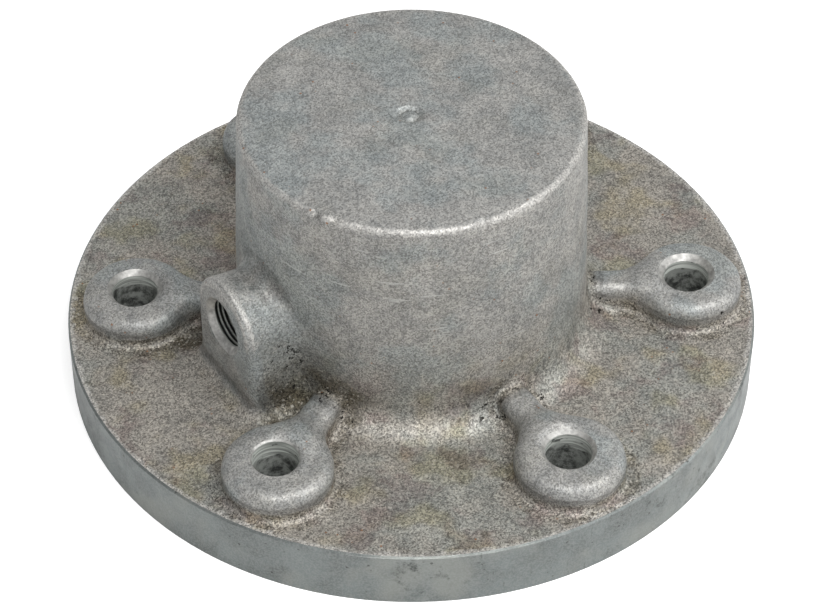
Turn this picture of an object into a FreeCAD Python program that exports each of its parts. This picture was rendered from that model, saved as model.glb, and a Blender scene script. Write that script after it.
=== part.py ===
import FreeCAD, Part
import math
import os

V = FreeCAD.Vector
Z = V(0, 0, 1)
CENTRE = V(0, 0, 0)

# One-piece cast housing: a thick round bolting flange with a closed cup standing on it,
# six bolt bosses tied to the cup by short necks, and one tapped side port.
# Millimetres.  Origin at the middle of the machined seat, +Z up through the closed end.

# ---- flange
flange_d = 212.0            # turned rim
flange_t = 19.0             # seat to cast upper face
rim_edge = 0.6              # cast edge broken at the top of the rim

# ---- cup
cup_top_d = 103.0           # outside, at the level of the closed end
cup_h = 94.0                # seat to closed end
cup_draft = 2.2             # degrees, outside wall
cup_top_r = 1.6             # worn edge round the closed end, one flat
cup_foot_r = 9.0            # large cast radius between wall and flange
cup_roof = 9.0              # thickness of the closed end
cavity_d = 88.0             # bored inside
cavity_corner = 5.0         # inside corner left at the end of the bore, 45 degrees
cavity_mouth_chamfer = 1.5  # turned edge of the bore at the seat

# ---- bolt circle
bolt_count = 6
bolt_pcd = 170.0
bolt_first = 2.6            # degrees from +X to the first hole
bolt_hole_d = 14.0          # clearance for M12

# The mouths were countersunk by hand and differ from boss to boss.
mouth_chamfers = (1.7, 1.0, 1.2, 1.5, 0.5, 1.2)

# ---- cast forms round the cup stand slightly off the drilled pattern
cast_shift = V(0.5, -0.6, 0)

# ---- bolt bosses
boss_d = 33.0
boss_h = 28.0               # seat to boss top
boss_edge_r = 3.6           # rounded cast edge of the boss
foot_flare = 2.2            # cast flare at the foot of bosses and necks, 45 degrees

# ---- necks from the bosses to the cup
neck_w = 8.6                # across the top, before its edges are rounded
neck_h = 25.8               # seat to neck top
neck_draft = 5.0            # degrees, each side
neck_edge_r = 3.0

# ---- side port
port_angle = 213.1          # degrees from +X, half-way between two bosses
port_z = 43.2               # axis of the tapped hole above the seat
pad_face_r = 66.8           # flat face of the pad, from the cup axis
pad_crown_z = 44.0          # centre of the arched top
pad_crown_r = 15.2          # radius of the arched top
pad_fall = 9.0              # degrees, top of the pad falls towards the cup
pad_flare = 6.5             # degrees, each side of the pad opens downwards
pad_edge_r = 1.8            # rounded edge of the face
pad_foot_r = 4.0            # cast radius between the pad and its surroundings
thread_minor_d = 14.95      # G 3/8, tapping drill
thread_mouth_d = 18.8       # mouth of the countersink, 45 degrees

corner_step = 45.0          # degrees turned by each short flat of a small rounded corner


def radial(angle, r, z=0.0):
    """Point at a polar angle, radius and height."""
    a = math.radians(angle)
    return V(r * math.cos(a), r * math.sin(a), z)


def face_of(points):
    """Flat face inside straight edges through the points."""
    return Part.Face(Part.makePolygon(points + [points[0]]))


def rounded_corner(before, corner, after, radius, steps=0):
    """Evenly spaced points of the arc that rounds one corner of an outline."""
    a = (before - corner).normalize()
    b = (after - corner).normalize()
    turn = math.pi - a.getAngle(b)
    reach = radius * math.tan(turn / 2)
    middle = corner + (a + b).normalize() * (radius / math.cos(turn / 2))
    first = corner + a * reach - middle
    last = corner + b * reach - middle
    steps = steps or max(1, round(math.degrees(turn) / corner_step))
    points = []
    for i in range(steps + 1):
        t = i / steps
        near = math.sin((1 - t) * turn) / math.sin(turn)
        far = math.sin(t * turn) / math.sin(turn)
        points.append(middle + first * near + last * far)
    return points


def softened(outline):
    """Outline points from (u, v, radius) corners, in the XZ plane."""
    corners = [V(u, 0, v) for u, v, _ in outline]
    points = []
    for i, (_, _, radius) in enumerate(outline):
        if radius:
            after = corners[(i + 1) % len(corners)]
            points += rounded_corner(corners[i - 1], corners[i], after, radius)
        else:
            points.append(corners[i])
    distinct = [p for i, p in enumerate(points) if p.distanceToPoint(points[i - 1]) > 1e-6]
    return distinct


def turned(outline):
    """Solid of revolution about Z of a half section given as (r, z, corner radius)."""
    return face_of(softened(outline)).revolve(CENTRE, Z, 360)


def edges_where(shape, test):
    """Edges of a shape that pass a test."""
    return [e for e in shape.Edges if test(e)]


def cup_radius(z):
    """Outside radius of the drafted cup wall at a height."""
    return cup_top_d / 2 + (cup_h - z) * math.tan(math.radians(cup_draft))


def flange_and_cup():
    """Solid outside form of the flange and the cup, with the large radius between them."""
    rf = flange_d / 2
    foot = V(cup_radius(flange_t), 0, flange_t)
    top = V(cup_radius(cup_h), 0, cup_h)
    edge = V(rf - rim_edge, 0, flange_t)
    end = V(0, 0, cup_h)
    arc = rounded_corner(edge, foot, top, cup_foot_r, 4)
    rim = [CENTRE, V(rf, 0, 0), V(rf, 0, flange_t - rim_edge), edge, arc[0]]
    wall = [arc[4]] + rounded_corner(foot, top, end, cup_top_r, 1) + [end, CENTRE]
    section = Part.Wire([
        Part.makePolygon(rim),
        Part.Arc(*arc[:3]).toShape(),
        Part.Arc(*arc[2:]).toShape(),
        Part.makePolygon(wall),
    ])
    return Part.Face(section).revolve(CENTRE, Z, 360)


def boss(angle):
    """One round boss with a rounded top edge and a flared foot."""
    sunk = flange_t / 2
    side = boss_d / 2
    out = side + foot_flare
    form = turned([
        (0, sunk, 0),
        (out, sunk, 0),
        (out, flange_t, 0),
        (side, flange_t + foot_flare, 0),
        (side, boss_h, boss_edge_r),
        (0, boss_h, 0),
    ])
    form.translate(radial(angle, bolt_pcd / 2) + cast_shift)
    return form


def neck(angle):
    """Short drafted bar from the cup wall to the middle of a boss, with a flared foot."""
    sunk = flange_t / 2
    top = neck_w / 2
    foot = flange_t + foot_flare
    side = top + (neck_h - foot) * math.tan(math.radians(neck_draft))
    out = side + foot_flare
    half = [(out, sunk, 0), (out, flange_t, 0), (side, foot, 0), (top, neck_h, neck_edge_r)]
    other = [(-u, v, r) for u, v, r in reversed(half)]
    section = face_of(softened(half + other))
    start = (cavity_d / 2 + cup_radius(cup_h)) / 2
    bar = section.extrude(V(0, bolt_pcd / 2 - start, 0))
    bar.translate(V(0, start, 0))
    bar.rotate(CENTRE, Z, angle - 90)
    bar.translate(cast_shift)
    return bar


def port_pad():
    """Arched pad of the side port, flaring downwards, with its face edge rounded."""
    sunk = flange_t / 2
    flare = math.radians(pad_flare)
    crown = V(pad_face_r, 0, pad_crown_z)
    right = crown + V(0, math.cos(flare), math.sin(flare)) * pad_crown_r
    left = V(right.x, -right.y, right.z)
    foot_y = right.y + (right.z - sunk) * math.tan(flare)
    foot_right = V(pad_face_r, foot_y, sunk)
    foot_left = V(pad_face_r, -foot_y, sunk)
    outline = Part.Wire([
        Part.Arc(left, crown + Z * pad_crown_r, right).toShape(),
        Part.makeLine(right, foot_right),
        Part.makeLine(foot_right, foot_left),
        Part.makeLine(foot_left, left),
    ])
    inward = cavity_d / 2 - pad_face_r
    fall = inward * math.tan(math.radians(pad_fall))
    pad = Part.Face(outline).extrude(V(inward, 0, fall))

    def is_face_edge(e):
        return e.BoundBox.XMin > pad_face_r - 1e-3 and e.BoundBox.ZMax > sunk + 1
    pad = pad.makeFillet(pad_edge_r, edges_where(pad, is_face_edge))
    pad.rotate(CENTRE, Z, port_angle)
    pad.translate(cast_shift)
    return pad


def cavity():
    """Bored inside of the cup, open at the seat."""
    roof = cup_h - cup_roof
    r = cavity_d / 2
    return turned([
        (0, 0, 0),
        (r + cavity_mouth_chamfer, 0, 0),
        (r, cavity_mouth_chamfer, 0),
        (r, roof - cavity_corner, 0),
        (r - cavity_corner, roof, 0),
        (0, roof, 0),
    ])


def bolt_hole(angle, chamfer):
    """Drill and countersink of one bolt hole."""
    r = bolt_hole_d / 2
    hole = turned([
        (0, 0, 0),
        (r, 0, 0),
        (r, boss_h - chamfer, 0),
        (r + chamfer, boss_h, 0),
        (0, boss_h, 0),
    ])
    hole.translate(radial(angle, bolt_pcd / 2))
    return hole


def port_hole():
    """Tapping drill from the pad face into the cavity, with its countersink."""
    inward = radial(port_angle, -1)
    mouth = radial(port_angle, pad_face_r, port_z)
    sink = (thread_mouth_d - thread_minor_d) / 2
    drill = Part.makeCylinder(thread_minor_d / 2, pad_face_r / 2, mouth, inward)
    cone = Part.makeCone(thread_mouth_d / 2, thread_minor_d / 2, sink, mouth, inward)
    return drill.fuse(cone)


def seams(union, body, added):
    """Edges of a union that are new: on no edge of the body or of the added form."""
    old = [Part.Compound(body.Edges), Part.Compound(added.Edges)]

    def is_seam(e):
        middle = e.valueAt((e.FirstParameter + e.LastParameter) / 2)
        if not added.BoundBox.isInside(middle):
            return False
        return all(Part.Vertex(middle).distToShape(o)[0] > 1e-3 for o in old)
    return edges_where(union, is_seam)


def housing():
    """The whole casting."""
    cup = flange_and_cup()
    pad = port_pad()
    body = cup.fuse(pad)
    body = body.makeFillet(pad_foot_r, seams(body, cup, pad))

    angles = [bolt_first + i * 360.0 / bolt_count for i in range(bolt_count)]
    body = body.fuse([boss(a) for a in angles] + [neck(a) for a in angles])

    holes = [bolt_hole(a, c) for a, c in zip(angles, mouth_chamfers)]
    return body.cut([cavity(), port_hole()] + holes)


os.makedirs("parts", exist_ok=True)
housing().exportStep("parts/housing.step")
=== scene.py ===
import math

import bmesh
import bpy
import numpy as np
from mathutils import Matrix, Vector, noise


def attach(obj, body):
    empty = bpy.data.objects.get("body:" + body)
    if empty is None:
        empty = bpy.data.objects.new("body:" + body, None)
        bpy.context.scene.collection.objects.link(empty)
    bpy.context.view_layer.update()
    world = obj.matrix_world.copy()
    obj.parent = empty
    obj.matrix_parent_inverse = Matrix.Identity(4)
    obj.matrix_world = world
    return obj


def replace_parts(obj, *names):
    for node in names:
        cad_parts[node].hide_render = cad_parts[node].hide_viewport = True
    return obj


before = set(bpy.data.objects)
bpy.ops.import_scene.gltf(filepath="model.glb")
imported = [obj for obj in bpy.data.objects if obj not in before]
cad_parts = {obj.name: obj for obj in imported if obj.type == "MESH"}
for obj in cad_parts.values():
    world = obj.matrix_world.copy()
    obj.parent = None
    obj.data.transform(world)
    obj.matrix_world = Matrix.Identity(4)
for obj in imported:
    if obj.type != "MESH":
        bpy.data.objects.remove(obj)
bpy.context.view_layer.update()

bl_info = {
    "name": "Cast Housing Finish",
    "version": (1, 0, 0),
    "blender": (4, 5, 0),
    "location": "View3D > Sidebar > Housing",
    "description": "Dresses a one-piece flanged housing: blended cast skin, tapped port and studio",
    "category": "Object",
}

NODE = "housing"
MM = 0.001

# Softboxes: place, and width by height. Both are aimed at one point of the housing.
KEY_BOX = (0.35, -0.60, 1.25), (1.3, 0.7)
SIDE_BOX = (1.15, -0.10, 0.60), (0.7, 0.6)
BOX_AIM = 0, 0, 0.04

# Floor: grey, and how much it glows to the camera. Sky: share of its light from the left and right.
FLOOR_GREY, FLOOR_GLOW = 0.80, 0.52
SKY_LEFT, SKY_RIGHT = 0.42, 1.08

# Port thread: points round and along it, then the flat crest and the flank as shares of half a pitch.
THREAD_GRID = 97, 190
CREST, FLANK = 0.14, 0.72

# Nicks in the front edge of the closed end: direction in degrees, half width and depth in millimetres.
NICKS = (238, 2.2, 1.5), (245, 1.8, 1.2), (293.5, 2.6, 1.4), (226, 1.8, 1.3)

# Surface zones of the casting, which are also the order of its material slots.
CAST, TURNED, BORED, DRILLED, MOUTH = range(5)


# ---------------------------------------------------------------- sizes and colours

def length(name, description, millimetres):
    """A length property, kept in metres and given here in millimetres."""
    return bpy.props.FloatProperty(
        name=name, description=description, default=millimetres * MM, unit="LENGTH", precision=5)


def rotation(name, description, degrees):
    """An angle property, given here in degrees."""
    return bpy.props.FloatProperty(
        name=name, description=description, default=math.radians(degrees), subtype="ANGLE")


def tint(name, description, colour):
    """A colour property from three linear channel values."""
    return bpy.props.FloatVectorProperty(
        name=name, description=description, default=colour, subtype="COLOR", size=3, min=0.0, max=1.0)


class HousingSizes(bpy.types.PropertyGroup):
    """Sizes of the casting that its finish follows."""
    flange_r: length("Flange radius", "Radius of the turned rim", 106.0)
    flange_t: length("Flange thickness", "Seat to cast upper face", 19.0)
    rim_edge: length("Rim edge", "Broken edge at the top of the rim", 0.6)
    cup_top_r: length("Cup radius", "Outside radius at the closed end", 51.5)
    cup_h: length("Cup height", "Seat to closed end", 94.0)
    cup_draft: rotation("Cup draft", "Slope of the cup wall", 2.2)
    cup_edge: length("Cup edge", "Worn rounding of the closed end", 2.0)
    cup_foot: length("Cup foot", "Cast radius between cup and flange", 9.0)
    cavity_r: length("Cavity radius", "Bored inside of the cup", 44.0)
    bolt_circle_r: length("Bolt circle radius", "Axis to the bolt holes", 85.0)
    bolt_first: rotation("First bolt", "Angle of the first bolt hole", 2.6)
    bolt_hole_r: length("Bolt hole radius", "Clearance hole", 7.0)
    cast_shift: bpy.props.FloatVectorProperty(
        name="Cast shift", description="Offset of the cast forms from the drilled pattern",
        default=(0.0005, -0.0006, 0.0), subtype="TRANSLATION")
    boss_r: length("Boss radius", "Radius of the bolt bosses", 16.5)
    boss_h: length("Boss height", "Seat to boss top", 28.0)
    boss_edge: length("Boss edge", "Rounded cast edge of a boss", 3.8)
    neck_half: length("Neck half width", "Half the neck at its top corners", 4.8)
    neck_h: length("Neck height", "Seat to neck top", 27.6)
    neck_edge: length("Neck edge", "Rounded cast edge of a neck", 3.0)
    neck_draft: rotation("Neck draft", "Slope of each side of a neck", 5.0)
    neck_start: length("Neck start", "Cup axis to the inner end of a neck", 45.0)
    neck_blend: length("Neck blend", "Concave cast radius between a neck and its boss", 5.5)
    blend: length("Blend", "Concave cast radius where bosses and necks meet the rest", 1.7)
    port_angle: rotation("Port angle", "Direction of the side port", 213.1)
    port_z: length("Port height", "Axis of the tapped hole above the seat", 43.2)
    pad_face_r: length("Pad face", "Cup axis to the flat face of the pad", 66.8)
    pad_crown_z: length("Pad crown height", "Centre of the arched top", 44.0)
    pad_crown_r: length("Pad crown radius", "Radius of the arched top", 15.2)
    pad_fall: rotation("Pad fall", "Fall of the pad's top towards the cup", 9.0)
    pad_flare: rotation("Pad flare", "Opening of each side of the pad downwards", 6.5)
    pad_edge: length("Pad edge", "Rounded edge of the face at its crown", 1.8)
    pad_edge_grow: length("Pad edge growth", "How much softer that edge is at its foot", 2.8)
    pad_blend: length("Pad blend", "Concave cast radius round the pad", 4.2)
    thread_minor_r: length("Thread minor radius", "Radius over the crests of the port thread", 7.475)
    thread_major_r: length("Thread major radius", "Radius at the roots of the port thread", 8.33)
    thread_pitch: length("Thread pitch", "Distance between neighbouring crests", 1.337)
    mouth_r: length("Port mouth radius", "Radius of the countersink at the face", 9.4)
    lump: length("Lumps", "Unevenness of the cast skin", 0.16)


class HousingColours(bpy.types.PropertyGroup):
    """Colours of the casting's skins."""
    skin: tint("Cast skin", "Grey of the cast skin", (0.375, 0.375, 0.372))
    skin_low: tint("Flange skin", "Cast skin of the flange", (0.335, 0.318, 0.295))
    # The stain colour also paints the shade in the deep corners beside the pad.
    stain_and_shade: tint("Stain", "Brown staining in the corners", (0.105, 0.088, 0.058))
    # The worn colour also paints a highlight on the pad's arched top.
    worn: tint("Worn edge", "Bright worn edges", (0.50, 0.49, 0.47))
    turned: tint("Turned metal", "Turned rim and seat", (0.215, 0.242, 0.238))
    bore: tint("Bore", "Walls of the drilled holes", (0.24, 0.25, 0.235))
    cut: tint("Cut edge", "Cut mouths of the holes", (0.56, 0.5544, 0.532))


class StudioSizes(bpy.types.PropertyGroup):
    """Camera and lamps."""
    lens: bpy.props.FloatProperty(name="Lens", description="Focal length", default=129.0, unit="CAMERA")
    distance: bpy.props.FloatProperty(
        name="Distance", description="Camera to the middle of the seat", default=0.9193, unit="LENGTH")
    elevation: bpy.props.FloatProperty(
        name="Elevation", description="Camera above the floor", default=0.77283, subtype="ANGLE")
    roll: rotation("Roll", "Camera turned about its view", 0.166)
    yaw: rotation("Yaw", "Camera turned sideways", -0.063)
    pitch: rotation("Pitch", "Camera turned upwards", 0.787)
    key: bpy.props.FloatProperty(name="Key", description="Main softbox", default=17.0, unit="POWER")
    side: bpy.props.FloatProperty(name="Side", description="Right softbox", default=2.0, unit="POWER")
    sky: bpy.props.FloatProperty(
        name="Sky", description="Light from all round", default=0.75, subtype="FACTOR")


# ---------------------------------------------------------------- the cast form as a distance field

def ramp(value, low, high):
    """Straight ramp from 0 to 1, held at its ends."""
    return np.clip((value - low) / (high - low), 0, 1)


def fade(value, full, gone):
    """1 up to one value, falling to 0 at a larger one."""
    return ramp(-value, -gone, -full)


def rounded_and(a, b, radius):
    """Distance to the overlap of two forms whose shared edge is rounded."""
    u = a + radius
    v = b + radius
    out = np.hypot(np.maximum(u, 0), np.maximum(v, 0))
    return np.minimum(np.maximum(u, v), 0) + out - radius


def filleted_or(a, b, radius):
    """Distance to two joined forms with a hollow radius where they meet."""
    u = np.maximum(radius - a, 0)
    v = np.maximum(radius - b, 0)
    return np.maximum(radius, np.minimum(a, b)) - np.hypot(u, v)


def along(angle, x, y):
    """Coordinates along and across a direction in plan."""
    c, s = math.cos(angle), math.sin(angle)
    return x * c + y * s, y * c - x * s


def bolt_angles(sizes):
    """Angles of the six bolt holes."""
    return [sizes.bolt_first + i * math.pi / 3 for i in range(6)]


def flange_form(sizes, r, z):
    """Distance to the flange disc."""
    return rounded_and(r - sizes.flange_r, z - sizes.flange_t, sizes.rim_edge)


def cup_form(sizes, r, z):
    """Distance to the drafted cup."""
    wall = sizes.cup_top_r + (sizes.cup_h - z) * math.tan(sizes.cup_draft)
    return rounded_and((r - wall) * math.cos(sizes.cup_draft), z - sizes.cup_h, sizes.cup_edge)


def pad_form(sizes, x, y, z):
    """Distance to the arched pad, whose sides flare and whose crown falls towards the cup."""
    out, across = along(sizes.port_angle, x, y)
    up = z + (sizes.pad_face_r - out) * math.tan(sizes.pad_fall) - sizes.pad_crown_z
    across = np.abs(across)
    side = across * math.cos(sizes.pad_flare) + up * math.sin(sizes.pad_flare)
    arch = np.where(np.arctan2(up, across) > sizes.pad_flare, np.hypot(across, up), side)
    edge = sizes.pad_edge + sizes.pad_edge_grow * fade(z, 26 * MM, 46 * MM)
    pad = rounded_and(arch - sizes.pad_crown_r, out - sizes.pad_face_r, edge)
    return np.maximum(pad, sizes.cavity_r - out)


def port_direction(sizes):
    """Unit vector out of the port."""
    return Vector((math.cos(sizes.port_angle), math.sin(sizes.port_angle), 0))


def boss_and_neck_form(sizes, angle, x, y, z):
    """Distance to one boss and its neck, blended into each other."""
    out, across = along(angle, x, y)
    boss = np.hypot(out - sizes.bolt_circle_r, across) - sizes.boss_r
    boss = rounded_and(boss, z - sizes.boss_h, sizes.boss_edge)
    c, s = math.cos(sizes.neck_draft), math.sin(sizes.neck_draft)
    side = (np.abs(across) - sizes.neck_half) * c + (z - sizes.neck_h) * s
    neck = rounded_and(side, z - sizes.neck_h, sizes.neck_edge)
    ends = np.maximum(out - sizes.bolt_circle_r, sizes.neck_start - out)
    return filleted_or(boss, np.maximum(neck, ends), sizes.neck_blend)


def cast_form(sizes, p):
    """Distance from each point to the blended cast form."""
    x, y, z = p[:, 0], p[:, 1], p[:, 2]
    r = np.hypot(x, y)
    d = filleted_or(flange_form(sizes, r, z), cup_form(sizes, r, z), sizes.cup_foot)
    sx, sy = x - sizes.cast_shift[0], y - sizes.cast_shift[1]
    d = filleted_or(d, pad_form(sizes, sx, sy, z), sizes.pad_blend)
    for angle in bolt_angles(sizes):
        d = filleted_or(d, boss_and_neck_form(sizes, angle, sx, sy, z), sizes.blend)
    return d


def slope(form, p, step=2e-5):
    """Unit directions in which a distance field grows."""
    grown = np.stack([form(p + step * axis) - form(p - step * axis) for axis in np.eye(3)], axis=1)
    return grown / np.maximum(np.linalg.norm(grown, axis=1, keepdims=True), 1e-12)


def unevenness(p, size, seed):
    """Smooth random heights between about -1 and 1 at each point."""
    offset = Vector((seed * 7.3, seed * 3.1, seed * 5.7))
    return np.array([noise.noise(Vector(q) / size + offset) for q in p])


# ---------------------------------------------------------------- casting

def zone_of(sizes, centre, normal):
    """Surface zone of a face of the plain solid."""
    r = math.hypot(centre.x, centre.y)
    out, across = along(sizes.port_angle, centre.x, centre.y)
    port = math.hypot(across, centre.z - sizes.port_z)
    in_port = sizes.cavity_r - 2 * MM < out < sizes.pad_face_r - 0.15 * MM
    if in_port and port < sizes.thread_minor_r + 0.1 * MM and r > 43.6 * MM:
        return MOUTH
    if in_port and port < sizes.mouth_r and r > sizes.pad_face_r - 3 * MM:
        return MOUTH
    if r < sizes.cavity_r + 1.6 * MM and centre.z < 85.5 * MM and centre.z > 1e-6:
        return BORED
    if centre.z < 1e-5:
        return TURNED
    if r > sizes.flange_r - 0.62 * MM and abs(normal.z) < 0.9:
        return TURNED
    for angle in bolt_angles(sizes):
        u, v = along(angle, centre.x, centre.y)
        away = math.hypot(u - sizes.bolt_circle_r, v)
        if away < sizes.bolt_hole_r + 0.02 * MM:
            return DRILLED
        if away < sizes.bolt_hole_r + 1.8 * MM and abs(normal.z) < 0.99:
            return MOUTH
    return CAST


def target_edge(sizes, p):
    """Wanted edge length of the cast skin at a point: short on roundings, long on plain faces."""
    r = math.hypot(p.x, p.y)
    if p.z > sizes.cup_h - 3 * MM:
        return (0.6 if r < 6 * MM else 0.9 if r > sizes.cup_top_r - 4 * MM else 2.6) * MM
    if p.z > 37 * MM and r < 56 * MM:
        return 2.4 * MM
    if p.z > sizes.flange_t + 0.4 * MM:
        return 1.15 * MM
    return 2.4 * MM


def refine(bm, zones, sizes):
    """Splits the long edges of the cast skin until they are near their wanted length."""
    for _ in range(9):
        long_edges = [
            e for e in bm.edges
            if any(f[zones] == CAST for f in e.link_faces)
            and e.calc_length() > 1.45 * target_edge(sizes, (e.verts[0].co + e.verts[1].co) / 2)]
        if not long_edges:
            break
        bmesh.ops.subdivide_edges(bm, edges=long_edges, cuts=1)
        bmesh.ops.triangulate(bm, faces=[f for f in bm.faces if len(f.verts) > 3])
        even_out(bm, zones)


def cotangent(p, a, b):
    """Cotangent of the corner at p between a and b."""
    u, v = a - p, b - p
    return u.dot(v) / max(u.cross(v).length, 1e-14)


def even_out(bm, zones):
    """Turns the edges of flat skin whose two triangles would be rounder the other way."""
    for e in list(bm.edges):
        if not e.is_valid or len(e.link_faces) != 2 or e.calc_face_angle(1) > 0.02:
            continue
        if any(f[zones] != CAST for f in e.link_faces):
            continue
        a, b = (v.co for v in e.verts)
        far = [loop.link_loop_prev.vert.co for loop in e.link_loops]
        if cotangent(far[0], a, b) + cotangent(far[1], a, b) < -0.05:
            bmesh.utils.edge_rotate(e)


def widen_port(bm, sizes):
    """Opens the plain port bore behind its countersink, so that the wound thread shows."""
    wide = sizes.thread_major_r + 0.12 * MM
    depth = sizes.mouth_r - sizes.thread_minor_r
    c, s = math.cos(sizes.port_angle), math.sin(sizes.port_angle)

    def axial(co):
        out, across = along(sizes.port_angle, co.x, co.y)
        return out, across, co.z - sizes.port_z

    def on_bore(v):
        out, across, up = axial(v.co)
        return out > 0 and math.hypot(across, up) < sizes.thread_minor_r + 0.02 * MM

    wall = [f for f in bm.faces if all(on_bore(v) for v in f.verts)]
    parts = set(wall) | {e for f in wall for e in f.edges} | {v for f in wall for v in f.verts}
    behind = port_direction(sizes) * (sizes.pad_face_r - depth - 0.1 * MM)
    bmesh.ops.bisect_plane(bm, geom=list(parts), plane_co=behind, plane_no=port_direction(sizes))
    for v in bm.verts:
        out, across, up = axial(v.co)
        if out < sizes.cavity_r - 2 * MM or out > sizes.pad_face_r - depth - 0.05 * MM or not on_bore(v):
            continue
        if math.hypot(v.co.x, v.co.y) < sizes.cavity_r - 1e-5:
            continue
        grow = wide / math.hypot(across, up)
        across, up = across * grow, up * grow
        if out < sizes.cavity_r + 1 * MM:
            out = math.sqrt(sizes.cavity_r ** 2 - across ** 2)
        v.co = (out * c - across * s, out * s + across * c, up + sizes.port_z)
    bmesh.ops.triangulate(bm, faces=[f for f in bm.faces if len(f.verts) > 3])


def make_casting(sizes):
    """The whole casting as one closed mesh with its skin blended and made uneven."""
    bm = bmesh.new()
    bm.from_mesh(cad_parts[NODE].data)
    bmesh.ops.remove_doubles(bm, verts=bm.verts, dist=2e-6)
    zones = bm.faces.layers.int.new("zone")
    for f in bm.faces:
        f[zones] = zone_of(sizes, f.calc_center_median(), f.normal)
    refine(bm, zones, sizes)
    widen_port(bm, sizes)
    bm.verts.index_update()
    free = np.array([
        v.index for v in bm.verts
        if all(f[zones] == CAST for f in v.link_faces)])
    mesh = bpy.data.meshes.new("housing_casting")
    bm.to_mesh(mesh)
    bm.free()
    settle_on_form(mesh, free, sizes)
    return mesh


def settle_on_form(mesh, free, sizes):
    """Moves the free skin points onto the blended, uneven form, and notes its wear and where shade and a
    highlight are painted.
    """
    points = np.empty(len(mesh.vertices) * 3, np.float32)
    mesh.vertices.foreach_get("co", points)
    points = points.reshape(-1, 3).astype(float)

    def plain(p):
        return cast_form(sizes, p)

    p = points[free]
    lumps = unevenness(p, 9 * MM, 1) + 0.5 * unevenness(p, 3.5 * MM, 2)
    away = sizes.lump * lumps - 0.6 * sizes.lump
    away = away * (1 - 0.7 * ramp(p[:, 2], 90 * MM, 93 * MM)) * clear_of_mouths(sizes, p)
    away = away + knocks(sizes, p)
    for _ in range(4):
        n = slope(plain, p)
        p = p - n * (plain(p) - away)[:, None] * 0.9
    p[:, 2] = np.minimum(p[:, 2], sizes.cup_h)
    points[free] = p
    mesh.vertices.foreach_set("co", points.astype(np.float32).ravel())
    note_wear_and_shading(mesh, points, plain, sizes)
    mesh.update()


def fineness(sizes, p):
    """How fine the grain is: 1 on bosses, necks, pad face and closed end, 0 on the flange."""
    x, y, z = p[:, 0], p[:, 1], p[:, 2]
    out, across = along(sizes.port_angle, x, y)
    pad = ramp(out, 61 * MM, 64 * MM) * ramp(z, 19.8 * MM, 21.5 * MM)
    pad = pad * fade(np.abs(across), 17 * MM, 21 * MM)
    boss = np.zeros(len(p))
    for angle in bolt_angles(sizes):
        u, v = along(angle, x - sizes.cast_shift[0], y - sizes.cast_shift[1])
        away = np.hypot(u - sizes.bolt_circle_r, v)
        top = fade(away, 17.2 * MM, 18.6 * MM) * ramp(z, 20.5 * MM, 23 * MM)
        neck = ramp(u, 54 * MM, 58 * MM) * fade(np.abs(v), 5.5 * MM, 7.5 * MM)
        neck = neck * ramp(z, 22 * MM, 24.5 * MM)
        boss = np.maximum.reduce([boss, top, neck * (u < sizes.bolt_circle_r)])
    wall = 0.75 * ramp(z, 24 * MM, 50 * MM)
    return np.maximum.reduce([pad, boss, wall, ramp(z, 92 * MM, 93.5 * MM)])


def pitting(sizes, p):
    """How pitted the skin is: pores at each neck's root, at the cup's foot, beside the pad, one gap."""
    x, y, z = p[:, 0], p[:, 1], p[:, 2]
    r = np.hypot(x, y)
    near = np.zeros(len(p))
    for angle in bolt_angles(sizes):
        u, v = along(angle, x, y)
        root = np.hypot(np.hypot(u - 58 * MM, np.abs(v) - 7.5 * MM), z - 23 * MM)
        near = np.maximum(near, fade(root, 3 * MM, 6.5 * MM))
        top = np.hypot(np.hypot(u - 55.5 * MM, v), z - 28 * MM)
        near = np.maximum(near, 0.8 * fade(top, 2.5 * MM, 5 * MM))
    out, across = along(sizes.port_angle, x, y)
    side = np.hypot(np.hypot(out - 56 * MM, across - 17 * MM), (z - 34 * MM) * 0.6)
    foot = 0.45 * fade(np.abs(z - 27 * MM), 2 * MM, 5 * MM) * fade(r, 56 * MM, 62 * MM)
    gap = np.hypot((x - 97 * MM + 0.9 * (y + 11.8 * MM)) * 0.9, (y + 11.8 * MM) * 0.55)
    gap = 1.3 * fade(gap, 1.2 * MM, 2.4 * MM)
    return np.maximum.reduce([near, fade(side, 4 * MM, 8 * MM), foot, gap])


def clear_of_mouths(sizes, p):
    """0 beside the cut mouths, where the skin meets them flush, and 1 away from them."""
    x, y, z = p[:, 0], p[:, 1], p[:, 2]
    out, across = along(sizes.port_angle, x, y)
    clear = np.where(out > 60 * MM, ramp(np.hypot(across, z - sizes.port_z), 10 * MM, 13 * MM), 1)
    for angle in bolt_angles(sizes):
        u, v = along(angle, x, y)
        clear = clear * ramp(np.hypot(u - sizes.bolt_circle_r, v), 9 * MM, 12.5 * MM)
    return clear


def knocks(sizes, p):
    """Small dents: the knocked front edge of the closed end and the sunken stub at its middle."""
    x, y, z = p[:, 0], p[:, 1], p[:, 2]
    edge = np.hypot(np.hypot(x, y) - sizes.cup_top_r, z - sizes.cup_h)
    worn = -0.25 * MM * fade(edge, 1 * MM, 4 * MM) * np.clip(unevenness(p, 4 * MM, 3) + 0.35, 0, 1)
    worn = worn * ramp(-y, -5 * MM, 25 * MM)
    for degrees, width, depth in NICKS:
        u, v = along(math.radians(degrees), x, y)
        away = np.hypot(np.hypot(u - sizes.cup_top_r, v), z - sizes.cup_h)
        worn = worn - depth * MM * fade(away, 0, width * MM)
    middle = np.hypot(x + 0.6 * MM, (y - 0.3 * MM) * 1.15)
    dish = -1.1 * MM * fade(middle, 3.0 * MM, 4.6 * MM)
    stub = 1.1 * MM * fade(middle, 1.8 * MM, 3.0 * MM) * (0.7 + 0.5 * unevenness(p, 2.2 * MM, 4))
    return worn + (z > sizes.cup_h - 2 * MM) * (dish + stub)


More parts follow.
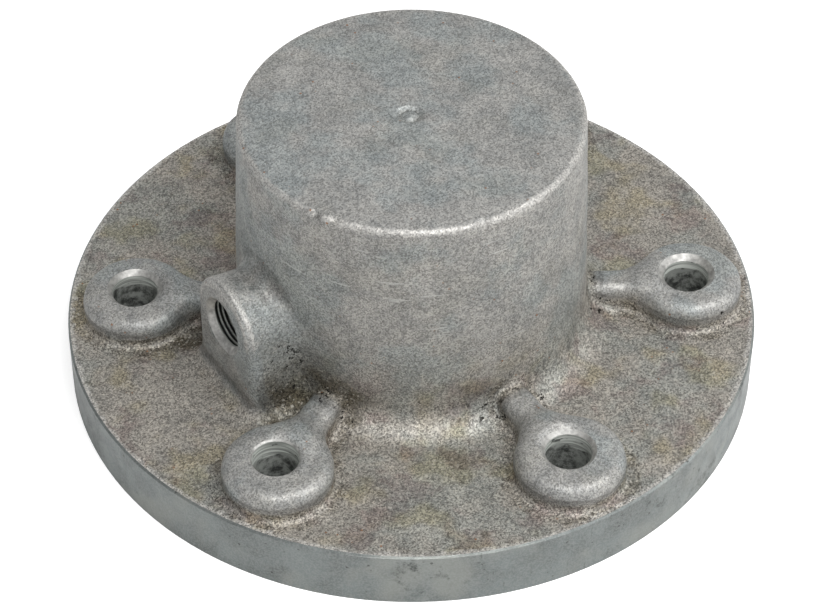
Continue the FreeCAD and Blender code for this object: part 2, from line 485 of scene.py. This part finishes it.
def grime_and_shade(sizes, p):
    """How dirty and shaded the skin is: dirt with painted shade in the deep corners beside the pad, and a
    stain ring round each boss.
    """
    x, y, z = p[:, 0], p[:, 1], p[:, 2]
    out, across = along(sizes.port_angle, x, y)
    # painted shade with dirt: the deep corners on both sides of the pad are darkened
    corner = np.hypot(np.hypot(out - 53 * MM, across - 25 * MM) * 0.9, (z - 25 * MM) * 0.75)
    other = np.hypot(np.hypot(out - 62 * MM, across + 26 * MM), z - 20 * MM)
    dirt_and_shade = np.maximum(
        fade(corner, 10 * MM, 23 * MM) * ramp(across, 12 * MM, 18 * MM),
        0.9 * fade(other, 8 * MM, 21 * MM) * ramp(-across, 14 * MM, 19 * MM))
    for angle in bolt_angles(sizes):
        u, v = along(angle, x - sizes.cast_shift[0], y - sizes.cast_shift[1])
        away = np.hypot(u - sizes.bolt_circle_r, v)
        outer = ramp(u - sizes.bolt_circle_r + v, -20 * MM, 20 * MM)
        ring = fade(away, 18.5 * MM, 25 * MM) * (0.55 + 0.45 * outer)
        clear = ramp(away, 16.6 * MM, 18.6 * MM)
        bar = (u < sizes.bolt_circle_r) * ramp(u, 55 * MM, 58 * MM)
        bar = bar * fade(np.abs(v), 6 * MM, 8.5 * MM)
        dirt_and_shade = np.maximum(dirt_and_shade, 0.42 * ring * fade(z, 20 * MM, 24 * MM)) * clear * (1 - bar)
    return dirt_and_shade


def note_wear_and_shading(mesh, points, form, sizes):
    """Stores how hollow, worn, finely grained, pitted and dirty each point of the mesh is, and where
    shade and a highlight are painted.
    """
    n = slope(form, points)
    hollow = 1 - form(points + 6 * MM * n) / (6 * MM)
    wear_and_highlight = (1 + form(points - 2.5 * MM * n) / (2.5 * MM)) / 0.30
    x, y, z = points[:, 0], points[:, 1], points[:, 2]
    r = np.hypot(x, y)
    edge = np.hypot(r - sizes.cup_top_r, z - sizes.cup_h)
    out, across = along(sizes.port_angle, x, y)
    # painted highlight: the arched top of the pad counts as worn, so it takes the bright worn colour
    arch = ramp(out, 52 * MM, 58 * MM) * ramp(z - 0.4 * np.abs(across), 49 * MM, 54 * MM)
    arch = arch * (z < 70 * MM)
    flat_end = (z > 93 * MM) * fade(r, 45 * MM, 48 * MM) * ramp(r, 4 * MM, 6 * MM)
    wear_and_highlight = wear_and_highlight * (1 - flat_end)
    wear_and_highlight = np.maximum.reduce([wear_and_highlight, fade(edge, 0.9 * MM, 2.3 * MM), 0.55 * arch])
    noted = {
        "hollow": hollow / 0.35,
        "wear_and_highlight": wear_and_highlight,
        "fine": fineness(sizes, points),
        "pitted": pitting(sizes, points),
        "grime_and_shade": grime_and_shade(sizes, points),
    }
    for name, values in noted.items():
        layer = mesh.attributes.new(name, "FLOAT", "POINT")
        layer.data.foreach_set("value", np.clip(values, 0, 1).astype(np.float32))


def shade_by_zone(mesh):
    """Smooth shading with sharp edges between zones and at the machined corners."""
    zones = np.empty(len(mesh.polygons), np.int32)
    mesh.attributes["zone"].data.foreach_get("value", zones)
    mesh.polygons.foreach_set("material_index", zones)
    mesh.polygons.foreach_set("use_smooth", [True] * len(zones))
    bm = bmesh.new()
    bm.from_mesh(mesh)
    layer = bm.faces.layers.int["zone"]
    for e in bm.edges:
        a, b = (f[layer] for f in e.link_faces)
        both_cast = a == CAST and b == CAST
        e.smooth = a == b and (both_cast or e.calc_face_angle(0) < math.radians(30))
    bm.to_mesh(mesh)
    bm.free()
    mesh.update()


# ---------------------------------------------------------------- materials

class Finish:
    """A small helper that adds and joins the nodes of one material."""

    def __init__(self, name):
        self.material = bpy.data.materials.new(name)
        self.material.use_nodes = True
        self.nodes = self.material.node_tree.nodes
        self.links = self.material.node_tree.links
        self.shader = self.nodes["Principled BSDF"]
        self.place = self.nodes.new("ShaderNodeTexCoord").outputs["Object"]

    def put(self, socket, value):
        """Joins an output to a socket, or sets the socket's own value."""
        if isinstance(value, bpy.types.NodeSocket):
            self.links.new(value, socket)
        elif value is not None:
            socket.default_value = value

    def noise(self, size, detail=2.0, rough=0.5, stretch=None):
        """Noise whose features are about the given size in metres."""
        node = self.nodes.new("ShaderNodeTexNoise")
        node.inputs["Scale"].default_value = 1 / size
        node.inputs["Detail"].default_value = detail
        node.inputs["Roughness"].default_value = rough
        self.put(node.inputs["Vector"], self.stretched(stretch))
        return node.outputs["Fac"]

    def cells(self, size, out="Distance"):
        """Cell pattern of the given size in metres."""
        node = self.nodes.new("ShaderNodeTexVoronoi")
        node.inputs["Scale"].default_value = 1 / size
        self.put(node.inputs["Vector"], self.place)
        return node.outputs[out]

    def stretched(self, stretch):
        """Object coordinates, scaled by axis where a stretch is given."""
        if stretch is None:
            return self.place
        node = self.nodes.new("ShaderNodeMapping")
        node.inputs["Scale"].default_value = stretch
        self.put(node.inputs["Vector"], self.place)
        return node.outputs["Vector"]

    def ramp(self, value, low, high, low_out=0.0, high_out=1.0):
        """Value mapped smoothly from one range to another and held at its ends."""
        node = self.nodes.new("ShaderNodeMapRange")
        node.interpolation_type = "SMOOTHSTEP"
        for socket, v in zip(node.inputs, (value, low, high, low_out, high_out)):
            self.put(socket, v)
        return node.outputs["Result"]

    def calc(self, operation, a, b):
        """Two values joined by a math operation."""
        node = self.nodes.new("ShaderNodeMath")
        node.operation = operation
        self.put(node.inputs[0], a)
        self.put(node.inputs[1], b)
        return node.outputs[0]

    def times(self, a, b):
        """Product of two values."""
        return self.calc("MULTIPLY", a, b)

    def plus(self, a, b):
        """Sum of two values."""
        return self.calc("ADD", a, b)

    def minus(self, a, b):
        """Difference of two values."""
        return self.calc("SUBTRACT", a, b)

    def most(self, a, b):
        """Larger of two values."""
        return self.calc("MAXIMUM", a, b)

    def mix(self, factor, a, b, blend="MIX"):
        """Two colours mixed by a factor."""
        node = self.nodes.new("ShaderNodeMix")
        node.data_type = "RGBA"
        node.blend_type = blend
        node.clamp_result = True
        self.put(node.inputs[0], factor)
        for socket, colour in ((node.inputs[6], a), (node.inputs[7], b)):
            self.put(socket, (*colour, 1) if isinstance(colour, (tuple, list)) else colour)
        return node.outputs[2]

    def tinted(self, base, shade):
        """A colour multiplied by another."""
        return self.mix(1.0, base, shade, "MULTIPLY")

    def noted(self, name):
        """An attribute kept on the piece."""
        node = self.nodes.new("ShaderNodeAttribute")
        node.attribute_name = name
        return node.outputs["Fac"]

    def axis(self, name):
        """One object coordinate."""
        node = self.nodes.new("ShaderNodeSeparateXYZ")
        self.put(node.inputs[0], self.place)
        return node.outputs[name]

    def bump(self, height, depth, before=None):
        """Bump of a height pattern, with its depth in metres."""
        node = self.nodes.new("ShaderNodeBump")
        node.inputs["Strength"].default_value = 1.0
        node.inputs["Distance"].default_value = depth
        self.put(node.inputs["Height"], height)
        if before:
            self.put(node.inputs["Normal"], before)
        return node.outputs["Normal"]

    def done(self, colour, roughness, metallic, normal):
        """Sets the shader's main inputs and returns the material."""
        self.put(self.shader.inputs["Base Color"], colour)
        self.put(self.shader.inputs["Roughness"], roughness)
        self.shader.inputs["Metallic"].default_value = metallic
        self.put(self.shader.inputs["Normal"], normal)
        return self.material


def cast_skin(colours):
    """Grainy cast skin: mottled grey, brown in the hollows, bright where it is worn; painted shade in the
    deep corners beside the pad and in the hollows of the finely grained parts, and a painted highlight on
    the pad's arched top.
    """
    m = Finish("cast_skin")
    z = m.axis("Z")
    coarse = m.minus(1.0, m.noted("fine"))
    clean = m.ramp(z, 0.028, 0.043)
    dirt_and_shade = m.times(m.times(m.noted("hollow"), 0.55), m.ramp(coarse, 0.0, 0.6))
    dirt_and_shade = m.most(dirt_and_shade, m.noted("grime_and_shade"))
    dirt_and_shade = m.times(dirt_and_shade, m.ramp(m.noise(0.008, 3.0, 0.6), 0.3, 0.7, 0.35, 1.2))
    dirt_and_shade = m.times(dirt_and_shade, m.minus(1.0, clean))
    foot = m.times(m.noted("hollow"), coarse)
    rough_skin = m.most(m.times(coarse, 0.5), m.most(dirt_and_shade, foot))

    # broad mottling: warm and cool patches, olive and plum on the flange
    base = m.mix(coarse, tuple(colours.skin), tuple(colours.skin_low))
    patches = m.ramp(m.noise(0.009, 5.0, 0.72), 0.36, 0.66)
    base = m.mix(patches, m.tinted(base, (1.10, 1.09, 1.06)), m.tinted(base, (0.83, 0.84, 0.83)))
    cool = m.ramp(m.noise(0.026, 3.0, 0.6), 0.47, 0.60, 0.0, 0.8)
    base = m.mix(cool, base, m.tinted(base, (0.90, 0.97, 1.0)))
    olive = m.ramp(m.noise(0.019, 2.0, 0.6), 0.50, 0.64)
    olive = m.times(olive, m.ramp(coarse, 0.3, 1.0, 0.12, 1.0))
    base = m.mix(olive, base, m.tinted(base, (0.98, 0.94, 0.80)))
    plum = m.times(m.ramp(m.noise(0.015, 3.0, 0.6), 0.47, 0.36), m.ramp(coarse, 0.3, 1.0))
    base = m.mix(plum, base, m.tinted(base, (0.82, 0.76, 0.77)))
    # brown stain in the hollows and round the bosses; in the deep corners beside the pad the same colour
    # is painted shade
    base = m.mix(m.ramp(dirt_and_shade, 0.15, 0.9, 0.0, 0.78), base, tuple(colours.stain_and_shade))
    # painted shade: the deepest corners beside the pad are darkened nearly to black
    deepest = m.ramp(m.noted("grime_and_shade"), 0.45, 0.95, 0.0, 0.32)
    base = m.mix(deepest, base, tuple(c * 0.4 for c in colours.stain_and_shade))
    # painted shade: the hollows of the finely grained bosses, necks and pad are darkened to grey
    shade = m.times(m.ramp(m.noted("hollow"), 0.05, 0.6, 0.0, 0.6), m.noted("fine"))
    base = m.mix(shade, base, m.tinted(base, (0.50, 0.49, 0.48)))

    # metal laid bare on the outer roundings, and a painted highlight on the pad's arched top
    worn = m.times(m.noted("wear_and_highlight"), m.ramp(m.noise(0.0026, 3.0, 0.6), 0.32, 0.60, 0.55, 1.2))
    base = m.mix(m.ramp(worn, 0.22, 0.85, 0.0, 0.75), base, tuple(colours.worn))

    # salt and pepper grain
    cells = m.cells(0.00042, "Color")
    grain = m.plus(m.times(m.noise(0.00062, 3.0, 0.75), 0.5), m.times(cells, 0.5))
    light = m.times(m.ramp(grain, 0.51, 0.66), m.ramp(rough_skin, 0.0, 1.0, 0.40, 0.82))
    dark = m.times(m.ramp(grain, 0.49, 0.35), m.ramp(rough_skin, 0.0, 1.0, 0.55, 0.92))
    base = m.mix(light, base, m.tinted(base, (1.85, 1.83, 1.79)))
    base = m.mix(dark, base, m.tinted(base, (0.40, 0.39, 0.38)))
    glints = m.ramp(m.cells(0.0006, "Color"), 0.78, 0.84)
    glints = m.times(glints, m.ramp(rough_skin, 0.0, 1.0, 0.10, 0.5))
    base = m.mix(glints, base, (0.66, 0.63, 0.56))

    # fine scratches that run round the wall, rust specks, gas pores
    scratch = m.ramp(m.noise(0.0007, 1.0, 0.5, (0.05, 0.05, 1.0)), 0.665, 0.70)
    scratch = m.times(scratch, m.ramp(m.noise(0.02, 2.0, 0.5), 0.52, 0.60))
    on_wall = m.times(m.ramp(z, 0.035, 0.050, 0.0, 0.55), m.ramp(z, 0.0925, 0.0905))
    scratch = m.times(scratch, on_wall)
    base = m.mix(scratch, base, (0.62, 0.62, 0.60))
    specks = m.ramp(m.cells(0.0034), 0.14, 0.07)
    rusty = m.ramp(m.noise(0.012, 2.0, 0.5), 0.56, 0.64, 0.0, 0.8)
    base = m.mix(m.times(specks, rusty), base, (0.30, 0.13, 0.05))
    pores = m.ramp(m.noise(0.0021, 3.0, 0.7), 0.60, 0.645)
    pores = m.times(pores, m.ramp(m.noted("pitted"), 0.15, 0.8))
    base = m.mix(pores, base, (0.015, 0.014, 0.012))

    pebbles = m.times(m.noise(0.0013, 3.0, 0.65), m.ramp(rough_skin, 0.0, 1.0, 0.15, 1.0))
    normal = m.bump(grain, 0.00012)
    normal = m.bump(m.minus(pebbles, pores), 0.00045, normal)
    rough = m.ramp(m.noise(0.004, 2.0, 0.5), 0.3, 0.7, 0.50, 0.66)
    return m.done(base, rough, 0.75, normal)


def turned_metal(colours):
    """Turned rim and seat: smooth, with fine rings, small pits and faint smudges."""
    m = Finish("turned_rim")
    base = m.mix(m.ramp(m.noise(0.013, 4.0, 0.65), 0.35, 0.7), tuple(colours.turned), (0.15, 0.165, 0.16))
    base = m.mix(m.ramp(m.noise(0.030, 3.0, 0.6), 0.50, 0.66, 0.0, 0.7), base, (0.29, 0.30, 0.275))
    smudge = m.ramp(m.noise(0.016, 5.0, 0.75), 0.56, 0.66)
    smudge = m.times(smudge, m.ramp(m.noise(0.05, 1.0, 0.5), 0.47, 0.55))
    base = m.mix(m.times(smudge, 0.75), base, (0.045, 0.05, 0.046))
    marks = m.ramp(m.noise(0.0011, 2.0, 0.6, (1, 1, 0.12)), 0.64, 0.72, 0.0, 0.5)
    marks = m.times(marks, m.ramp(m.noise(0.04, 1.0, 0.5), 0.5, 0.58))
    base = m.mix(marks, base, (0.06, 0.065, 0.06))
    pits = m.ramp(m.cells(0.0034), 0.16, 0.09)
    pits = m.times(pits, m.ramp(m.noise(0.009, 1.0, 0.5), 0.42, 0.50))
    base = m.mix(m.times(pits, 0.8), base, (0.03, 0.03, 0.027))
    rings = m.noise(0.010, 2.0, 0.6, (1, 1, 40))
    fine = m.noise(0.0006, 2.0, 0.6)
    base = m.mix(m.ramp(fine, 0.35, 0.65, 0.0, 0.5), base, (0.33, 0.34, 0.33))
    normal = m.bump(m.minus(rings, pits), 0.00004)
    rough = m.ramp(m.noise(0.005, 2.0, 0.5), 0.3, 0.7, 0.32, 0.46)
    return m.done(base, rough, 0.75, normal)


def bored_metal(colours):
    """Walls of the cavity: turned rings and darker patches."""
    m = Finish("bored_cavity")
    tone = tuple(c * 0.9 for c in colours.bore)
    base = m.mix(m.ramp(m.noise(0.005, 3.0, 0.6), 0.35, 0.7), tone, tuple(c * 0.5 for c in tone))
    rings = m.noise(0.0012, 2.0, 0.7, (0.05, 0.05, 1))
    base = m.mix(m.ramp(rings, 0.40, 0.62, 0.0, 0.6), base, tuple(c * 1.9 for c in tone))
    return m.done(base, 0.42, 0.35, m.bump(rings, 0.00006))


def thread_metal(colours):
    """Port thread: painted shade makes the grooves nearly black, and the crests are lighter."""
    m = Finish("port_thread")
    crest = m.times(m.noted("crest"), m.ramp(m.noise(0.002, 2.0, 0.6), 0.3, 0.7, 0.75, 1.1))
    tone = tuple(colours.bore)
    # painted shade: the grooves are darkened nearly to black; lighter on the crests
    base = m.mix(m.ramp(crest, 0.25, 0.95), tuple(c * 0.10 for c in tone), tuple(c * 1.9 for c in tone))
    return m.done(base, 0.40, 0.6, m.bump(m.noise(0.0005, 2.0, 0.5), 0.00003))


def drilled_metal(colours):
    """Bolt hole walls: pale rings near the mouth, and below a slanting line a painted shadow, dark and
    smeared.
    """
    m = Finish("drilled_hole")
    edge = m.plus(m.axis("Z"), m.times(m.noise(0.012, 1.0, 0.5), 0.012))
    # painted shadow: a few millimetres below the mouth, under a wavy line, the wall takes a darkened copy
    deep = m.ramp(edge, 0.0292, 0.0284)
    rings = m.noise(0.0011, 2.0, 0.7, (0.05, 0.05, 1))
    tone = tuple(c * 1.3 for c in colours.bore)
    upper = m.mix(m.ramp(rings, 0.38, 0.62), tone, tuple(c * 2.4 for c in tone))
    spots = m.ramp(m.noise(0.0016, 3.0, 0.7, (0.3, 0.3, 1)), 0.60, 0.66, 0.0, 0.8)
    upper = m.mix(spots, upper, (0.02, 0.022, 0.02))
    smear = m.ramp(m.noise(0.0036, 5.0, 0.75), 0.36, 0.64)
    shaded_lower = m.mix(smear, tuple(c * 0.18 for c in tone), tuple(c * 1.3 for c in tone))
    return m.done(m.mix(deep, upper, shaded_lower), 0.42, 0.25, m.bump(rings, 0.00006))


def cut_metal(colours):
    """Freshly cut mouths of the holes and of the port."""
    m = Finish("cut_mouth")
    tone = tuple(colours.cut)
    base = m.mix(m.ramp(m.noise(0.002, 3.0, 0.6), 0.3, 0.7), tone, tuple(c * 0.55 for c in tone))
    grain = m.noise(0.0005, 2.0, 0.6)
    return m.done(base, 0.48, 0.8, m.bump(grain, 0.00003))


# ---------------------------------------------------------------- port thread

def thread_tree(material):
    """Node tree that winds the thread of the port along its axis."""
    tree = bpy.data.node_groups.new("port_thread", "GeometryNodeTree")
    face = tree.interface
    face.new_socket(name="Geometry", in_out="OUTPUT", socket_type="NodeSocketGeometry")
    for name in ("Length", "Pitch", "Minor Radius", "Major Radius", "Lead", "Start"):
        face.new_socket(name=name, in_out="INPUT", socket_type="NodeSocketFloat")
    nodes, links = tree.nodes, tree.links
    given = nodes.new("NodeGroupInput").outputs

    def calc(operation, a, b=None):
        node = nodes.new("ShaderNodeMath")
        node.operation = operation
        for socket, v in zip(node.inputs, (a, b)):
            if isinstance(v, bpy.types.NodeSocket):
                links.new(v, socket)
            elif v is not None:
                socket.default_value = v
        return node.outputs[0]

    grid = nodes.new("GeometryNodeMeshGrid")
    for axis, count in zip("XY", THREAD_GRID):
        grid.inputs[f"Size {axis}"].default_value = 1.0
        grid.inputs[f"Vertices {axis}"].default_value = count
    split = nodes.new("ShaderNodeSeparateXYZ")
    links.new(nodes.new("GeometryNodeInputPosition").outputs[0], split.inputs[0])
    turn = calc("ADD", split.outputs["X"], 0.5)
    depth = calc("MULTIPLY", calc("ADD", split.outputs["Y"], 0.5), given["Length"])
    depth = calc("ADD", depth, given["Start"])
    phase = calc("FRACT", calc("ADD", calc("DIVIDE", depth, given["Pitch"]), turn))
    ridge = calc("ABSOLUTE", calc("SUBTRACT", calc("MULTIPLY", phase, 2.0), 1.0))
    ridge = calc("DIVIDE", calc("SUBTRACT", ridge, CREST), FLANK)
    ridge = calc("MINIMUM", calc("MAXIMUM", ridge, 0.0), 1.0)
    spread = calc("SUBTRACT", given["Major Radius"], given["Minor Radius"])
    lead = calc("MINIMUM", calc("DIVIDE", calc("SUBTRACT", depth, given["Start"]), given["Lead"]), 1.0)
    spread = calc("MULTIPLY", spread, lead)
    radius = calc("ADD", given["Minor Radius"], calc("MULTIPLY", ridge, spread))
    angle = calc("MULTIPLY", turn, 2 * math.pi)
    joined = nodes.new("ShaderNodeCombineXYZ")
    links.new(calc("MULTIPLY", radius, calc("COSINE", angle)), joined.inputs["X"])
    links.new(calc("MULTIPLY", radius, calc("SINE", angle)), joined.inputs["Y"])
    links.new(depth, joined.inputs["Z"])
    place = nodes.new("GeometryNodeSetPosition")
    links.new(grid.outputs["Mesh"], place.inputs["Geometry"])
    links.new(joined.outputs[0], place.inputs["Position"])
    merge = nodes.new("GeometryNodeMergeByDistance")
    merge.inputs["Distance"].default_value = 1e-6
    links.new(place.outputs[0], merge.inputs["Geometry"])
    smooth = nodes.new("GeometryNodeSetShadeSmooth")
    links.new(merge.outputs[0], smooth.inputs["Geometry"])
    real = nodes.new("GeometryNodeRealizeInstances")
    links.new(smooth.outputs[0], real.inputs[0])
    dress = nodes.new("GeometryNodeSetMaterial")
    dress.inputs["Material"].default_value = material
    links.new(real.outputs[0], dress.inputs["Geometry"])
    links.new(dress.outputs[0], nodes.new("NodeGroupOutput").inputs[0])
    return tree


def evaluated_mesh(holder, name):
    """Plain mesh of an object with its modifiers applied."""
    view = bpy.context.evaluated_depsgraph_get()
    mesh = bpy.data.meshes.new_from_object(holder.evaluated_get(view))
    mesh.name = name
    return mesh


def keep_piece(mesh, name):
    """Puts a finished mesh in the scene as a piece that rides on the casting."""
    piece = bpy.data.objects.new(name, mesh)
    bpy.context.scene.collection.objects.link(piece)
    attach(piece, "root")
    return piece


# ---------------------------------------------------------------- operators

class HOUSING_OT_casting(bpy.types.Operator):
    """Makes the casting: blended skin over the plain solid, machined places kept sharp"""
    bl_idname = "housing.casting"
    bl_label = "Make Casting"

    def execute(self, context):
        scene = context.scene
        mesh = make_casting(scene.housing_sizes)
        colours = scene.housing_colours
        for finish in (cast_skin, turned_metal, bored_metal, drilled_metal, cut_metal):
            mesh.materials.append(finish(colours))
        shade_by_zone(mesh)
        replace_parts(keep_piece(mesh, "housing_casting"), NODE)
        return {"FINISHED"}


class HOUSING_OT_thread(bpy.types.Operator):
    """Winds the thread of the side port"""
    bl_idname = "housing.thread"
    bl_label = "Cut Port Thread"

    def execute(self, context):
        sizes = context.scene.housing_sizes
        material = thread_metal(context.scene.housing_colours)
        holder = bpy.data.objects.new("thread_holder", bpy.data.meshes.new("thread_holder"))
        context.scene.collection.objects.link(holder)
        winding = holder.modifiers.new("thread", "NODES")
        winding.node_group = thread_tree(material)
        start = sizes.mouth_r - sizes.thread_minor_r
        given = {
            "Length": sizes.pad_face_r - sizes.cavity_r - start - 0.3 * MM,
            "Pitch": sizes.thread_pitch,
            "Minor Radius": sizes.thread_minor_r,
            "Major Radius": sizes.thread_major_r,
            "Lead": 0.5 * MM,
            "Start": start,
        }
        for item in winding.node_group.interface.items_tree:
            if item.in_out == "INPUT":
                winding[item.identifier] = given[item.name]
        mesh = evaluated_mesh(holder, "port_thread")
        bpy.data.objects.remove(holder)
        crest = mesh.attributes.new("crest", "FLOAT", "POINT")
        spread = sizes.thread_major_r - sizes.thread_minor_r
        for v, noted in zip(mesh.vertices, crest.data):
            deep = (math.hypot(v.co.x, v.co.y) - sizes.thread_minor_r) / spread
            noted.value = 1 - min(max(deep, 0), 1)
        mouth = port_direction(sizes) * sizes.pad_face_r + Vector((0, 0, sizes.port_z))
        turn = (-port_direction(sizes)).to_track_quat("Z", "Y").to_matrix().to_4x4()
        mesh.transform(Matrix.Translation(mouth) @ turn)
        mesh.flip_normals()
        keep_piece(mesh, "port_thread")
        return {"FINISHED"}


def softbox(name, place, size, power):
    """One softbox, wide by tall, aimed at the housing."""
    lamp = bpy.data.lights.new(name, "AREA")
    lamp.shape = "RECTANGLE"
    lamp.size, lamp.size_y = size
    lamp.energy = power
    box = bpy.data.objects.new(name, lamp)
    box.location = place
    box.rotation_mode = "QUATERNION"
    box.rotation_quaternion = (Vector(BOX_AIM) - Vector(place)).to_track_quat("-Z", "Y")
    bpy.context.scene.collection.objects.link(box)


def turned(a, b, angle):
    """Two square directions, both turned by an angle from the first towards the second."""
    c, s = math.cos(angle), math.sin(angle)
    return a * c + b * s, b * c - a * s


class HOUSING_OT_studio(bpy.types.Operator):
    """Sets up the pale floor, the softboxes and the camera"""
    bl_idname = "housing.studio"
    bl_label = "Set Up Studio"

    def execute(self, context):
        studio = context.scene.housing_studio
        self.floor()
        softbox("key_softbox", *KEY_BOX, studio.key)
        softbox("side_softbox", *SIDE_BOX, studio.side)
        self.sky(context.scene, studio.sky)
        self.camera(context.scene, studio)
        context.scene.view_settings.view_transform = "Standard"
        return {"FINISHED"}

    def floor(self):
        """Pale floor just under the seat; its glow is only for the camera."""
        bm = bmesh.new()
        bmesh.ops.create_grid(bm, x_segments=1, y_segments=1, size=6.0)
        bmesh.ops.translate(bm, verts=bm.verts, vec=(0, 0, -0.0001))
        mesh = bpy.data.meshes.new("studio_floor")
        bm.to_mesh(mesh)
        bm.free()
        floor = bpy.data.objects.new("studio_floor", mesh)
        bpy.context.scene.collection.objects.link(floor)
        material = bpy.data.materials.new("pale_floor")
        material.use_nodes = True
        nodes, links = material.node_tree.nodes, material.node_tree.links
        nodes.remove(nodes["Principled BSDF"])
        matt = nodes.new("ShaderNodeBsdfDiffuse")
        matt.inputs["Color"].default_value = (FLOOR_GREY, FLOOR_GREY, FLOOR_GREY, 1)
        glow = nodes.new("ShaderNodeEmission")
        rays = nodes.new("ShaderNodeLightPath")
        seen = nodes.new("ShaderNodeMath")
        seen.operation = "MULTIPLY"
        seen.inputs[1].default_value = FLOOR_GLOW
        links.new(rays.outputs["Is Camera Ray"], seen.inputs[0])
        links.new(seen.outputs[0], glow.inputs["Strength"])
        both = nodes.new("ShaderNodeAddShader")
        links.new(matt.outputs[0], both.inputs[0])
        links.new(glow.outputs[0], both.inputs[1])
        links.new(both.outputs[0], nodes["Material Output"].inputs["Surface"])
        mesh.materials.append(material)

    def sky(self, scene, strength):
        """Soft light from all round, weaker from the left; white to the camera."""
        world = bpy.data.worlds.new("studio_sky")
        world.use_nodes = True
        scene.world = world
        nodes, links = world.node_tree.nodes, world.node_tree.links
        rays = nodes.new("ShaderNodeLightPath")
        level = nodes.new("ShaderNodeMapRange")
        way = nodes.new("ShaderNodeSeparateXYZ")
        links.new(nodes.new("ShaderNodeTexCoord").outputs["Generated"], way.inputs[0])
        lean = nodes.new("ShaderNodeMapRange")
        lean.inputs["From Min"].default_value = -1.0
        lean.inputs["To Min"].default_value = strength * SKY_LEFT
        lean.inputs["To Max"].default_value = strength * SKY_RIGHT
        links.new(way.outputs["X"], lean.inputs["Value"])
        links.new(lean.outputs["Result"], level.inputs["To Min"])
        level.inputs["To Max"].default_value = 1.0
        links.new(rays.outputs["Is Camera Ray"], level.inputs["Value"])
        links.new(level.outputs["Result"], nodes["Background"].inputs["Strength"])
        nodes["Background"].inputs["Color"].default_value = (1, 1, 1, 1)

    def camera(self, scene, studio):
        """Camera that looks down at the housing from the front."""
        lens = bpy.data.cameras.new("studio_camera")
        lens.lens = studio.lens
        lens.sensor_width = 36.0
        lens.clip_start = 0.01
        lens.clip_end = 50.0
        camera = bpy.data.objects.new("studio_camera", lens)
        scene.collection.objects.link(camera)
        c, s = math.cos(studio.elevation), math.sin(studio.elevation)
        forward = Vector((0, c, -s))
        camera.location = -studio.distance * forward
        roll, yaw, pitch = studio.roll, studio.yaw, studio.pitch
        right = Vector((1, 0, 0))
        up = right.cross(forward)
        right, up = turned(right, up, roll)
        forward, up = turned(forward, up, pitch)
        forward, right = turned(forward, right, yaw)
        camera.rotation_mode = "QUATERNION"
        camera.rotation_quaternion = Matrix((right, up, -forward)).transposed().to_quaternion()
        scene.camera = camera


class HOUSING_PT_panel(bpy.types.Panel):
    """Lists the housing's pieces, sizes and colours"""
    bl_idname = "HOUSING_PT_panel"
    bl_label = "Cast Housing"
    bl_space_type = "VIEW_3D"
    bl_region_type = "UI"
    bl_category = "Housing"

    def draw(self, context):
        for operator in (HOUSING_OT_casting, HOUSING_OT_thread, HOUSING_OT_studio):
            self.layout.operator(operator.bl_idname)
        for group in ("housing_sizes", "housing_colours", "housing_studio"):
            holder = getattr(context.scene, group)
            box = self.layout.box()
            for name in holder.__annotations__:
                box.prop(holder, name)


CLASSES = (
    HousingSizes, HousingColours, StudioSizes, HOUSING_OT_casting, HOUSING_OT_thread, HOUSING_OT_studio,
    HOUSING_PT_panel)


def register():
    """Adds the classes and hangs the property groups on the scene."""
    for cls in CLASSES:
        bpy.utils.register_class(cls)
    bpy.types.Scene.housing_sizes = bpy.props.PointerProperty(type=HousingSizes)
    bpy.types.Scene.housing_colours = bpy.props.PointerProperty(type=HousingColours)
    bpy.types.Scene.housing_studio = bpy.props.PointerProperty(type=StudioSizes)


def unregister():
    """Takes the property groups and the classes away again."""
    del bpy.types.Scene.housing_studio
    del bpy.types.Scene.housing_colours
    del bpy.types.Scene.housing_sizes
    for cls in reversed(CLASSES):
        bpy.utils.unregister_class(cls)


def main():
    """Builds the pieces in order."""
    register()
    bpy.ops.housing.casting()
    bpy.ops.housing.thread()
    bpy.ops.housing.studio()


if __name__ == "__main__":
    main()
